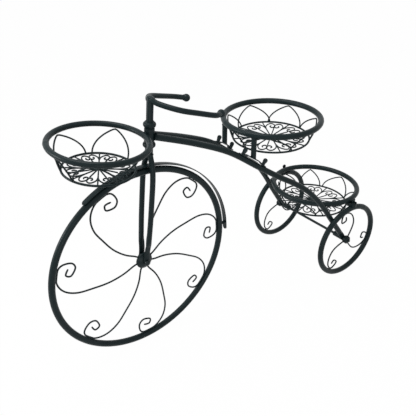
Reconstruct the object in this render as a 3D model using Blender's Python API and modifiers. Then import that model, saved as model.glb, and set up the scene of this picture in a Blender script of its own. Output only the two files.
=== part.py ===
# Tricycle plant stand: a bent tube frame on three scrolled wire wheels carries three
# round wire baskets for flower pots. Metres, +Z up, +X towards the rear wheels.
# The origin is on the floor, midway along the stand and on its centre plane.

import math

import bmesh
import bpy
from mathutils import Matrix, Vector

# Gap between touching pieces, and the extra length of every cutter
seat_gap = 0.0003
cut_overrun = 0.003
weld_distance = 0.00001

# Facets round each shape
tube_sides = 8
front_ring_steps = 44
rear_ring_steps = 32
rim_steps = 32
floor_ring_steps = 28
turned_steps = 20
small_steps = 12
nut_sides = 6

# Fineness of a wire's section: 0 is a square, 1 a hexagon and 2 an octagon
square_section = 0
hexagon_section = 1
octagon_section = 2

# Front wheel ring, and how far the rear axle lies behind the front one
front_ring_radius = 0.205
front_tube_radius = 0.0068
wheelbase = 0.5289

# Front hub, a dished disc on a bolt
front_hub_radius = 0.0185
front_hub_half_length = 0.0084
front_hub_edge_half_length = 0.0022
axle_bolt_radius = 0.003

# Front spokes: wires that sweep out to the ring and end in a loose scroll
spoke_wire_radius = 0.0018
front_spoke_angles = (5, 51, 117, 168, 225, 272, 322)
front_spoke_reach_shares = (0.0, 0.035, 0.16, 0.34, 0.57, 0.77, 0.92, 1.0, 0.985, 0.86, 0.795, 0.83,
                            0.895, 0.88)
front_spoke_turns = (20, 20.5, 26, 24.5, 19, 15, 9, 1, -8, -10.5, -7, -1, -2, -6.5)

# Fender, a thin strip that follows the front wheel's upper rear quarter
fender_width = 0.012
fender_thickness = 0.0018
fender_rise_top = 0.0033
fender_rise_tail = 0.0083
fender_rise_front = 0.0022
fender_tail_angle = -3
fender_top_angle = 85
fender_front_angle = 123.5
fender_tip_length = 0.006
fender_end_width_share = 0.35
fender_steps = 30
fender_tip_steps = 3
fender_tab_angles = {"rear": 2, "front": 111}
fender_tab_width = 0.008
fender_tab_thickness = 0.003

# Steering head: the axis leans back, and passes behind the front axle
head_lean = 5.455
fork_offset = 0.0062
stem_radius = 0.0068
neck_radius = 0.0078
head_radius = 0.010
collar_radius = 0.0124
neck_bottom_height = 0.2374
neck_length = 0.0142
collar_length = 0.0125
head_length = 0.0272

# Fork blades: round tube, pressed flat where the axle bolt goes through
blade_radius = 0.0055
blade_spread = 0.0178
blade_flat_thickness = 0.0034
blade_flat_width = 0.0138
blade_flat_overlap = 0.012
blade_tube_end_height = 0.046
blade_height_shares = (1.0, 0.985, 0.95, 0.90, 0.82, 0.70, 0.50, 0.28, 0.12, 0.0)
blade_spread_shares = (0.0, 0.0, 0.24, 0.57, 0.88, 1.0, 0.98, 0.93, 0.82, 0.72)

# Bolt head and nut of the front axle
nut_radius = 0.0062
nut_length = 0.0048

# Handlebar: one bent tube across the top of the stem with a ball on each end
bar_radius = 0.0053
bar_height = 0.3466
bar_reach = 0.1208
bar_spread = 0.066
bar_drop = 0.0294
bar_reach_shares = (0.0, 0.055, 0.262, 0.564, 0.844, 1.0)
bar_spread_shares = (0.0, 0.242, 0.742, 0.909, 1.0, 0.88)
bar_drop_shares = (0.0, 0.214, 0.425, 0.69, 0.925, 1.0)
ball_radius = 0.0080

# Frame rails: two tubes from the head, spread like a wishbone, to the rear axle
rail_radius = 0.0065
rail_start_behind_axis = 0.0055
rail_start_below_top = 0.0165
rail_start_spread = 0.0085
rail_reach_shares = (0.0, 0.17, 0.333, 0.475, 0.576, 0.658, 0.739, 0.820, 0.901, 0.960)
rail_height_shares = (1.0, 0.915, 0.815, 0.686, 0.596, 0.529, 0.447, 0.326, 0.177, 0.071)
rail_spread_shares = (0.0, 0.112, 0.246, 0.428, 0.575, 0.684, 0.790, 0.896, 0.965, 1.0)
rail_end_spread = 0.1085
rail_flat_thickness = 0.0035
rail_flat_width = 0.0145
rail_flat_overlap = 0.012

# Rear wheels and their axle
rear_ring_radius = 0.0942
rear_tube_radius = 0.0068
rear_track_half = 0.1198
rear_wheel_toe = 1.8
rear_hub_radius = 0.010
rear_hub_half_length = 0.0075
rear_hub_edge_half_length = 0.0045
rear_axle_radius = 0.0033
rear_axle_stub = 0.0035
sleeve_radius = 0.0066
sleeve_inner_end = 0.080
rear_spoke_angles = (105, 236, 348)
rear_spoke_reach_shares = (0.0, 0.06, 0.46, 0.745, 0.945, 1.0, 0.86, 0.715, 0.70, 0.85)
rear_spoke_turns = (-46, -46, -40, -27, -13, 0, 7, 8, -4, -5)

# Baskets: rim tube, floor ring below it, wire arches between them and a scrolled floor
front_basket = {"rim_radius": 0.0895, "rim_tube": 0.0055, "drop": 0.0507, "floor_radius": 0.0664,
                "peak_angles": (39.9, 122, 178, 235, 306),
                "foot_angles": (32.1, 39.3, 23, 33, 36)}
middle_basket = {"rim_radius": 0.1078, "rim_tube": 0.0065, "drop": 0.0450, "floor_radius": 0.0862,
                 "peak_angles": (-34, 22.8, 76.6, 123.1, 163, 219, 280),
                 "foot_angles": (28.9, 27.4, 29, 23.7, 25, 37, 27)}
rear_basket = {"rim_radius": 0.107, "rim_tube": 0.0064, "drop": 0.0450, "floor_radius": 0.0862,
               "peak_angles": (-3.5, 48.5, 98, 150, 200, 252, 304),
               "foot_angles": (27.8, 19, 25, 26, 26, 26, 26)}
front_rim_height = 0.2805
front_basket_roll = 2.96
middle_basket_reach = 0.3538
middle_rim_height = 0.4400
rear_basket_reach = 0.5274
rear_basket_pitch = 2.4
arch_wire_radius = 0.0016
arch_foot_skew = 0.0007
arch_peak_angle = 42
floor_ring_wire_radius = 0.0022
arch_bend = 1.9
arch_steps = 10

# Basket floor: bars from a centre disc, each with two scrolls curling away from it
grille_wire_radius = 0.0014
grille_bars = 8
grille_first_angle = 15
grille_disc_radius = 0.007
grille_disc_half_height = 0.0012
grille_stalk_share = 0.555
scroll_along_shares = (0.50, 0.72, 0.83, 0.74, 0.585, 0.56, 0.665)
scroll_aside_shares = (0.0, 0.05, 0.18, 0.285, 0.25, 0.15, 0.14)

# Posts that carry the middle basket, each on a bowed strip held by two wing screws
post_radius = 0.0058
strip_length = 0.080
strip_width = 0.010
strip_thickness = 0.0016
strip_rise = 0.004
strip_bow_foot_share = 0.64
strip_bow_shoulder_share = 0.44
strip_rows = 40
strip_screw_reach = 0.030

# Tabs that carry the rear basket on the wheel rings
tab_thickness = 0.0026
tab_width = 0.016
tab_inner_reach = 0.006
tab_outer_reach = 0.009
tab_behind_axle = 0.006

# Wing screws
screw_radius = 0.002
screw_hole_clearance = 0.0003
screw_depth = 0.0042
screw_boss_radius = 0.0042
screw_boss_length = 0.0028
wing_thickness = 0.002
wing_height = 0.015
wing_span_half = 0.005
wing_across_shares = (0.62, 0.80, 0.97, 1.0, 0.86, 0.50)
wing_up_shares = (0.06, 0.30, 0.54, 0.70, 0.88, 0.975)
wing_notch_share = 1.0
middle_screw_turn = -38
rear_screw_turn = -10

# Black paint, a little greener where the light catches it
paint_colour = (0.013, 0.018, 0.019, 1)
paint_roughness = 0.42
paint_metallic = 0.15
screw_colour = (0.016, 0.020, 0.021, 1)
screw_roughness = 0.35

# Heights and reaches that follow from the sizes above
half_turn = math.pi
full_turn = 2 * math.pi
quarter_turn = math.pi / 2
smooth_angle = math.radians(40)
front_axle_height = (front_ring_radius + front_tube_radius) * math.cos(half_turn / front_ring_steps)
rear_axle_height = (rear_ring_radius + rear_tube_radius) * math.cos(half_turn / rear_ring_steps)
rear_ring_top = rear_axle_height + rear_ring_radius + rear_tube_radius
rear_pitch = math.radians(rear_basket_pitch)
tab_behind_centre = wheelbase + tab_behind_axle + tab_width / 2 - rear_basket_reach
rear_rim_height = (rear_ring_top + seat_gap + tab_thickness + seat_gap + rear_basket["rim_tube"]
                   + tab_behind_centre * math.sin(rear_pitch))
rear_end = rear_basket_reach + rear_basket["rim_radius"] + rear_basket["rim_tube"]
front_x = (front_axle_height - rear_end) / 2
lean = math.radians(head_lean)
head_origin = Vector((front_x + fork_offset * math.cos(lean), 0,
                      front_axle_height - fork_offset * math.sin(lean)))
lower_collar_bottom = neck_bottom_height + neck_length
head_bottom = lower_collar_bottom + collar_length
head_top = head_bottom + head_length

# Start from an empty scene
for old_object in list(bpy.data.objects):
    bpy.data.objects.remove(old_object, do_unlink=True)

stand_collection = bpy.data.collections.new("tricycle_plant_stand")
cutter_collection = bpy.data.collections.new("cutters")
bpy.context.scene.collection.children.link(stand_collection)
bpy.context.scene.collection.children.link(cutter_collection)


def guide(name, location, rotation=(0, 0, 0), parent=None):
    frame = bpy.data.objects.new(name, None)
    frame.parent = parent
    frame.location = location
    frame.rotation_euler = rotation
    stand_collection.objects.link(frame)
    bpy.context.view_layer.update()
    return frame


def finish(piece, colour=paint_colour, roughness=paint_roughness):
    material = bpy.data.materials.new(piece.name + "_paint")
    material.use_nodes = True
    shader = material.node_tree.nodes["Principled BSDF"]
    shader.inputs["Base Color"].default_value = colour
    shader.inputs["Roughness"].default_value = roughness
    shader.inputs["Metallic"].default_value = paint_metallic
    piece.data.materials.clear()
    piece.data.materials.append(material)


def keep(name, data, parent=None, location=(0, 0, 0), rotation=(0, 0, 0)):
    piece = bpy.data.objects.new(name, data)
    piece.parent = parent
    piece.location = location
    piece.rotation_euler = rotation
    stand_collection.objects.link(piece)
    finish(piece)
    return piece


def make_cutter(piece, group=None):
    for owner in list(piece.users_collection):
        owner.objects.unlink(piece)
    (group or cutter_collection).objects.link(piece)
    piece.display_type = "WIRE"
    piece.hide_render = True
    return piece


def round_off(mesh):
    mesh.shade_smooth()
    mesh.set_sharp_from_angle(angle=smooth_angle)


def wire(name, points, radius, section, parent=None):
    curve = bpy.data.curves.new(name, "CURVE")
    curve.dimensions = "3D"
    curve.bevel_depth = radius
    curve.bevel_resolution = section
    curve.use_fill_caps = True
    spline = curve.splines.new("POLY")
    spline.points.add(len(points) - 1)
    for spot, place in zip(spline.points, points):
        spot.co = (place[0], place[1], place[2], 1)
    return keep(name, curve, parent)


def plate(name, outline, thickness, parent=None, location=(0, 0, 0), rotation=(0, 0, 0)):
    curve = bpy.data.curves.new(name, "CURVE")
    curve.dimensions = "2D"
    curve.fill_mode = "BOTH"
    curve.extrude = thickness / 2
    spline = curve.splines.new("POLY")
    spline.points.add(len(outline) - 1)
    for spot, place in zip(spline.points, outline):
        spot.co = (place[0], place[1], 0, 1)
    spline.use_cyclic_u = True
    return keep(name, curve, parent, location, rotation)


def as_mesh(source):
    bpy.context.view_layer.update()
    depsgraph = bpy.context.evaluated_depsgraph_get()
    mesh = bpy.data.meshes.new_from_object(source.evaluated_get(depsgraph))
    work = bmesh.new()
    work.from_mesh(mesh)
    bmesh.ops.remove_doubles(work, verts=work.verts, dist=weld_distance)
    bmesh.ops.recalc_face_normals(work, faces=work.faces)
    work.to_mesh(mesh)
    work.free()
    name, parent, place = source.name, source.parent, source.matrix_world.copy()
    bpy.data.objects.remove(source, do_unlink=True)
    solid = keep(name, mesh, parent)
    solid.matrix_world = place
    return solid


def turned(name, profile, parent=None, location=(0, 0, 0), rotation=(0, 0, 0), loop=True,
           steps=turned_steps):
    mesh = bpy.data.meshes.new(name)
    work = bmesh.new()
    corners = [work.verts.new((radius, 0, height)) for radius, height in profile]
    for first, second in zip(corners, corners[1:]):
        work.edges.new((first, second))
    if loop:
        work.edges.new((corners[-1], corners[0]))
    work.to_mesh(mesh)
    work.free()
    piece = keep(name, mesh, parent, location, rotation)
    screw = piece.modifiers.new("turn", "SCREW")
    screw.axis = "Z"
    screw.angle = full_turn
    screw.steps = steps
    screw.render_steps = steps
    screw.use_merge_vertices = True
    screw.merge_threshold = weld_distance
    screw.use_smooth_shade = True
    return piece


def turned_ring(name, radius, tube_radius, steps, parent):
    # Flats of the tube's section face straight out, so the ring stands on a flat
    corner_radius = tube_radius / math.cos(half_turn / tube_sides)
    profile = []
    for side in range(tube_sides):
        angle = full_turn * (side + 1 / 2) / tube_sides
        profile.append((radius + corner_radius * math.cos(angle), -corner_radius * math.sin(angle)))
    half_step = half_turn / steps
    return turned(name, profile, parent, rotation=(quarter_turn, half_step, 0), steps=steps)


def cylinder(name, radius, length, parent=None, steps=turned_steps):
    mesh = bpy.data.meshes.new(name)
    work = bmesh.new()
    bmesh.ops.create_cone(work, cap_ends=True, segments=steps, radius1=radius, radius2=radius,
                          depth=length)
    work.to_mesh(mesh)
    work.free()
    return keep(name, mesh, parent)


def cut(piece, cutter):
    make_cutter(cutter)
    modifier = piece.modifiers.new("cut_" + cutter.name, "BOOLEAN")
    modifier.operation = "DIFFERENCE"
    modifier.solver = "EXACT"
    modifier.object = cutter


def fuse(piece, others):
    group = bpy.data.collections.new(piece.name + "_wires")
    cutter_collection.children.link(group)
    for other in others:
        make_cutter(other, group)
    modifier = piece.modifiers.new("fuse", "BOOLEAN")
    modifier.operation = "UNION"
    modifier.solver = "EXACT"
    modifier.operand_type = "COLLECTION"
    modifier.collection = group


def smooth(stations, steps):
    # A smooth run through stations that each hold the same number of values
    last = len(stations) - 1
    path = []
    for index in range(last):
        run = (stations[max(index - 1, 0)], stations[index], stations[index + 1],
               stations[min(index + 2, last)])
        for step in range(steps):
            share = step / steps
            values = []
            for before, start, end, after in zip(*run):
                slope_in = (end - before) / 2
                slope_out = (after - start) / 2
                bend = 3 * (end - start) - 2 * slope_in - slope_out
                turn = slope_in + slope_out - 2 * (end - start)
                values.append(start + share * (slope_in + share * (bend + share * turn)))
            path.append(tuple(values))
    path.append(tuple(stations[last]))
    return path


def polar(radius, degrees):
    angle = math.radians(degrees)
    return radius * math.cos(angle), radius * math.sin(angle)


# Frames that the pieces are placed from
front_axle = guide("front_axle_centre", (front_x, 0, front_axle_height))
head = guide("steering_axis", head_origin, (0, lean, 0))
rear_axle = guide("rear_axle_centre", (front_x + wheelbase, 0, rear_axle_height))
sides = {"left": -1, "right": 1}


# Wheel ring, hub and spokes
def spoke(name, parent, touch_degrees, hub_radius, touch_radius, reach_shares, turns, steps):
    start = hub_radius + seat_gap
    stations = [(start + share * (touch_radius - start), touch_degrees + turn)
                for share, turn in zip(reach_shares, turns)]
    points = []
    for radius, degrees in smooth(stations, steps):
        across, up = polar(min(radius, touch_radius), degrees)
        points.append((across, 0, up))
    return wire(name, points, spoke_wire_radius, hexagon_section, parent)


def hub_profile(radius, half_length, edge_half_length, bore):
    # A dished disc: thin at the edge and thick in the middle, with a bore
    shoulder = radius * 0.62
    shoulder_half_length = half_length * 0.82
    flat = bore + (shoulder - bore) / 2
    return [(flat, half_length), (shoulder, shoulder_half_length), (radius, edge_half_length),
            (radius, -edge_half_length), (shoulder, -shoulder_half_length), (flat, -half_length),
            (bore, -half_length), (bore, half_length)]


turned_ring("front_ring", front_ring_radius, front_tube_radius, front_ring_steps, front_axle)
front_ring_inside = (front_ring_radius - front_tube_radius) * math.cos(half_turn / front_ring_steps)
front_touch = front_ring_inside - spoke_wire_radius - seat_gap
for number, touch_degrees in enumerate(front_spoke_angles, 1):
    spoke("front_spoke_" + str(number), front_axle, touch_degrees, front_hub_radius, front_touch,
          front_spoke_reach_shares, front_spoke_turns, 1)
turned("front_hub", hub_profile(front_hub_radius, front_hub_half_length, front_hub_edge_half_length,
                                axle_bolt_radius + seat_gap),
       front_axle, rotation=(quarter_turn, 0, 0))


# Fender strip, with its ends rounded off, and the two tabs that join it to the ring
def fender_rise(degrees):
    if degrees < fender_top_angle:
        share = (fender_top_angle - degrees) / (fender_top_angle - fender_tail_angle)
        return fender_rise_top + (fender_rise_tail - fender_rise_top) * share * share
    share = (degrees - fender_top_angle) / (fender_front_angle - fender_top_angle)
    return fender_rise_top + (fender_rise_front - fender_rise_top) * share * share


ring_outside = front_ring_radius + front_tube_radius
tip_degrees = math.degrees(fender_tip_length / ring_outside)
fender_rows = []
for row in range(fender_tip_steps):
    share = row / fender_tip_steps
    rounding = math.sqrt(1 - (1 - share) * (1 - share))
    fender_rows.append((fender_tail_angle + share * tip_degrees, rounding))
span_degrees = fender_front_angle - fender_tail_angle - 2 * tip_degrees
for row in range(fender_steps + 1):
    fender_rows.append((fender_tail_angle + tip_degrees + span_degrees * row / fender_steps, 1))
for row in range(fender_tip_steps):
    share = 1 - (row + 1) / fender_tip_steps
    rounding = math.sqrt(1 - (1 - share) * (1 - share))
    fender_rows.append((fender_front_angle - share * tip_degrees, rounding))

fender_mesh = bpy.data.meshes.new("fender")
work = bmesh.new()
bmesh.ops.create_grid(work, x_segments=len(fender_rows) - 1, y_segments=1, size=1)
for vertex in work.verts:
    row = round((vertex.co.x + 1) / 2 * (len(fender_rows) - 1))
    degrees, rounding = fender_rows[row]
    across, up = polar(ring_outside + fender_rise(degrees), degrees)
    half_width = fender_width / 2 * (fender_end_width_share + (1 - fender_end_width_share) * rounding)
    vertex.co = (across, vertex.co.y * half_width, up)
work.to_mesh(fender_mesh)
work.free()
fender = keep("fender", fender_mesh, front_axle)
thicken = fender.modifiers.new("thicken", "SOLIDIFY")
thicken.thickness = fender_thickness
thicken.offset = -1

for name, degrees in fender_tab_angles.items():
    tab_mesh = bpy.data.meshes.new("fender_tab_" + name)
    work = bmesh.new()
    bmesh.ops.create_cube(work, size=1)
    gap_height = fender_rise(degrees) - 2 * seat_gap
    bmesh.ops.scale(work, vec=(gap_height, fender_tab_width, fender_tab_thickness), verts=work.verts)
    work.to_mesh(tab_mesh)
    work.free()
    across, up = polar(ring_outside + fender_rise(degrees) / 2, degrees)
    keep("fender_tab_" + name, tab_mesh, front_axle, (across, 0, up), (0, -math.radians(degrees), 0))


# Steering head: fork neck, collars, stem and the fixed head tube round the stem
def collar(name, bottom):
    bore = stem_radius + seat_gap
    middle = bottom + collar_length / 2
    waist = head_radius * 0.92
    top_half = collar_length / 2 - seat_gap / 2
    return turned(name, [(bore, middle + top_half), (waist, middle + top_half),
                         (collar_radius, middle + top_half * 0.35),
                         (collar_radius, middle - top_half * 0.35),
                         (waist, middle - top_half), (bore, middle - top_half)], head)


turned("fork_neck", [(0, lower_collar_bottom - seat_gap), (stem_radius, lower_collar_bottom - seat_gap),
                     (neck_radius, lower_collar_bottom - neck_length * 0.3),
                     (neck_radius, neck_bottom_height), (0, neck_bottom_height)], head, loop=False)
collar("lower_collar", lower_collar_bottom)
collar("upper_collar", head_top)
stem = turned("stem", [(0, bar_height), (stem_radius, bar_height), (stem_radius, lower_collar_bottom),
                       (0, lower_collar_bottom)], head, loop=False)
head_bore = stem_radius + seat_gap
turned("head_tube", [(head_bore, head_top - seat_gap / 2), (head_radius, head_top - seat_gap / 2),
                     (head_radius, head_bottom + seat_gap / 2), (head_bore, head_bottom + seat_gap / 2)],
       head)


# Flat pressed end of a tube: an eye round a bolt with a tongue that runs up the tube
def pressed_end(name, width, length, thickness):
    eye_steps = 10
    eye = width / 2
    outline = []
    for step in range(eye_steps + 1):
        angle = half_turn + half_turn * step / eye_steps
        outline.append((eye * math.cos(angle), eye * math.sin(angle)))
    tongue = eye * 0.6
    outline += [(eye, length * 0.55), (tongue, length), (-tongue, length), (-eye, length * 0.55)]
    return plate(name, outline, thickness)


# Fork blades, bolted to both sides of the hub
blade_flat_middle = front_hub_half_length + seat_gap + blade_flat_thickness / 2
blade_top = neck_bottom_height - seat_gap
blade_top_spread = blade_radius + seat_gap
for side, sign in sides.items():
    stations = []
    for height_share, spread_share in zip(blade_height_shares, blade_spread_shares):
        height = blade_tube_end_height + height_share * (blade_top - blade_tube_end_height)
        spread = blade_top_spread + spread_share * (blade_spread - blade_top_spread)
        stations.append((-fork_offset * (1 - height / blade_top), sign * spread, height))
    blade = as_mesh(wire(side + "_fork_blade", smooth(stations, 1), blade_radius, octagon_section, head))
    foot = as_mesh(pressed_end(side + "_blade_foot", blade_flat_width,
                               blade_tube_end_height + blade_flat_overlap, blade_flat_thickness))
    foot.parent = head
    foot.matrix_world = head.matrix_world @ Matrix.Translation(
        (-fork_offset, sign * blade_flat_middle, 0)) @ Matrix.Rotation(quarter_turn, 4, "X")
    fuse(blade, [foot])
    eye = cylinder(side + "_blade_eye", axle_bolt_radius + seat_gap,
                   2 * (blade_flat_middle + blade_flat_thickness + cut_overrun), front_axle)
    eye.rotation_euler = (quarter_turn, 0, 0)
    cut(blade, eye)

# Axle bolt with its head on the left, and the nut on the right
blade_outside = blade_flat_middle + blade_flat_thickness / 2 + seat_gap
bolt_tip = blade_outside + nut_length + axle_bolt_radius
turned("front_axle_bolt", [(0, bolt_tip), (axle_bolt_radius, bolt_tip), (axle_bolt_radius, -blade_outside),
                           (nut_radius, -blade_outside), (nut_radius, -blade_outside - nut_length * 0.7),
                           (nut_radius * 0.7, -blade_outside - nut_length),
                           (0, -blade_outside - nut_length)],
       front_axle, rotation=(-quarter_turn, 0, 0), loop=False)
nut_bore = (axle_bolt_radius + seat_gap) / math.cos(half_turn / nut_sides)
turned("front_axle_nut", [(nut_bore, blade_outside + nut_length), (nut_radius, blade_outside + nut_length),
                          (nut_radius, blade_outside), (nut_bore, blade_outside)],
       front_axle, rotation=(-quarter_turn, 0, 0), steps=nut_sides)

# Handlebar across the top of the stem, which is cut to fit round it
half_bar = [(reach * bar_reach, spread * bar_spread, bar_height - drop * bar_drop)
            for reach, spread, drop in zip(bar_reach_shares, bar_spread_shares, bar_drop_shares)]
left_half = [(x, -y, z) for x, y, z in reversed(half_bar[1:])]
bar_path = smooth(left_half + half_bar, 2)
handlebar = as_mesh(wire("handlebar", bar_path, bar_radius, octagon_section, head))
cut(stem, as_mesh(wire("stem_saddle", bar_path, bar_radius + seat_gap, octagon_section, head)))
for side, sign in sides.items():
    end = Vector(bar_path[-1 if sign > 0 else 0])
    before = Vector(bar_path[-2 if sign > 0 else 1])
    centre = end + (end - before).normalized() * ball_radius * 0.55
    for name, radius in ((side + "_grip_ball", ball_radius), (side + "_ball_seat", ball_radius + seat_gap)):
        ball_mesh = bpy.data.meshes.new(name)
        work = bmesh.new()
        bmesh.ops.create_uvsphere(work, u_segments=small_steps, v_segments=tube_sides, radius=radius)
        work.to_mesh(ball_mesh)
        work.free()
        round_off(ball_mesh)
        ball = keep(name, ball_mesh, head, centre)
    cut(handlebar, ball)

# Frame rails
rail_start = head.matrix_world @ Vector((rail_start_behind_axis, 0, head_top - rail_start_below_top))
rail_end = Vector((front_x + wheelbase, 0, rear_axle_height))
rail_stations = []
for reach, height, spread in zip(rail_reach_shares, rail_height_shares, rail_spread_shares):
    rail_stations.append((rail_start.x + reach * (rail_end.x - rail_start.x),
                          rail_start_spread + spread * (rail_end_spread - rail_start_spread),
                          rail_end.z + height * (rail_start.z - rail_end.z)))
rail_path = smooth(rail_stations, 1)


def rail_at(x):
    for first, second in zip(rail_path, rail_path[1:]):
        if second[0] >= x:
            break
    share = (x - first[0]) / (second[0] - first[0])
    return Vector(first).lerp(Vector(second), share)


# The posts stand where the middle basket's rim crosses over the rails
post_x = front_x + middle_basket_reach - middle_basket["rim_radius"]
for attempt in range(20):
    post_y = rail_at(post_x).y
    post_x = front_x + middle_basket_reach - math.sqrt(middle_basket["rim_radius"] ** 2 - post_y ** 2)


def strip_frame():
    # Origin on the rail's axis between the two screws, X along the rail and Z square to it
    along = (rail_at(post_x + strip_screw_reach) - rail_at(post_x - strip_screw_reach)).normalized()
    up = (Vector((0, 0, 1)) - along * along.z).normalized()
    shift = up.x * (rail_radius + strip_rise)
    reach = along.x * strip_screw_reach
    first = rail_at(post_x - shift - reach)
    second = rail_at(post_x - shift + reach)
    along = (second - first).normalized()
    up = (Vector((0, 0, 1)) - along * along.z).normalized()
    across = up.cross(along)
    frame = Matrix((along, across, up)).transposed().to_4x4()
    return Matrix.Translation((first + second) / 2) @ frame


right_strip = strip_frame()
flip = Matrix.Diagonal((1, -1, 1, 1))
strip_places = {"left": flip @ right_strip @ flip, "right": right_strip}
strip_seat = rail_radius + seat_gap
hole_radius = screw_radius + screw_hole_clearance


def screw_hole(name, place, depth):
    hole = cylinder(name, hole_radius, depth, steps=small_steps)
    hole.matrix_world = place
    return hole


rail_flat_middle = rear_track_half - rear_hub_half_length - seat_gap - rail_flat_thickness / 2
for side, sign in sides.items():
    rail_points = [(x, sign * y, z) for x, y, z in rail_path]
    rail = as_mesh(wire(side + "_rail", rail_points, rail_radius, octagon_section))
    fall = Vector((rail_path[-1][0] - rail_end.x, rail_path[-1][2] - rail_end.z))
    toe = as_mesh(pressed_end(side + "_rail_toe", rail_flat_width, fall.length + rail_flat_overlap,
                              rail_flat_thickness))
    toe_tilt = math.atan2(fall.x, fall.y)
    toe.matrix_world = Matrix.Translation((rail_end.x, sign * rail_flat_middle, rail_end.z)) \
        @ Matrix.Rotation(toe_tilt, 4, "Y") @ Matrix.Rotation(quarter_turn, 4, "X")
    fuse(rail, [toe])
    eye = cylinder(side + "_rail_eye", rear_axle_radius + seat_gap,
                   2 * (rail_flat_middle + rail_flat_thickness + cut_overrun), rear_axle)
    eye.rotation_euler = (quarter_turn, 0, 0)
    cut(rail, eye)
    saddle = cylinder(side + "_rail_saddle", head_radius + seat_gap, head_length + 2 * cut_overrun, head)
    saddle.location = (0, 0, (head_top + head_bottom) / 2)
    cut(rail, saddle)
    for end, direction in (("front", -1), ("rear", 1)):
        depth = rail_radius + cut_overrun
        place = strip_places[side] @ Matrix.Translation((direction * strip_screw_reach, 0, depth / 2))
        cut(rail, screw_hole(side + "_rail_hole_" + end, place, depth))

# Rear axle with its sleeves, and the two rear wheels
axle_half_length = rear_track_half + rear_hub_half_length + rear_axle_stub
turned("rear_axle", [(0, axle_half_length), (rear_axle_radius * 0.6, axle_half_length),
                     (rear_axle_radius, axle_half_length - rear_axle_radius * 0.5),
                     (rear_axle_radius, -axle_half_length + rear_axle_radius * 0.5),
                     (rear_axle_radius * 0.6, -axle_half_length), (0, -axle_half_length)],
       rear_axle, rotation=(quarter_turn, 0, 0), loop=False)
rear_bore = rear_axle_radius + seat_gap
sleeve_outer_end = rail_flat_middle - rail_flat_thickness / 2 - seat_gap
sleeve_half = (sleeve_outer_end - sleeve_inner_end) / 2
rear_ring_inside = (rear_ring_radius - rear_tube_radius) * math.cos(half_turn / rear_ring_steps)
rear_touch = rear_ring_inside - spoke_wire_radius - seat_gap
for side, sign in sides.items():
    turned(side + "_axle_sleeve", [(rear_bore, sleeve_half), (sleeve_radius, sleeve_half),
                                   (sleeve_radius, -sleeve_half), (rear_bore, -sleeve_half)],
           rear_axle, (0, sign * (sleeve_inner_end + sleeve_half), 0), (quarter_turn, 0, 0),
           steps=small_steps)
    wheel = guide(side + "_wheel_centre", (0, sign * rear_track_half, 0), parent=rear_axle)
    plane = guide(side + "_wheel_plane", (0, 0, 0), (0, 0, sign * math.radians(rear_wheel_toe)), wheel)
    ring = turned_ring(side + "_wheel_ring", rear_ring_radius, rear_tube_radius, rear_ring_steps, plane)
    depth = screw_depth + cut_overrun
    hole_top = rear_ring_top + cut_overrun
    hole = screw_hole(side + "_ring_hole", Matrix.Translation(
        (front_x + wheelbase + tab_behind_axle, sign * rear_track_half, hole_top - depth / 2 - seat_gap)),
        depth)
    cut(ring, hole)
    turned(side + "_wheel_hub", hub_profile(rear_hub_radius, rear_hub_half_length,
                                            rear_hub_edge_half_length, rear_bore),
           wheel, rotation=(quarter_turn, 0, 0))
    for number, touch_degrees in enumerate(rear_spoke_angles, 1):
        spoke(side + "_wheel_spoke_" + str(number), plane, touch_degrees, rear_hub_radius, rear_touch,
              rear_spoke_reach_shares, rear_spoke_turns, 1)


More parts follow.
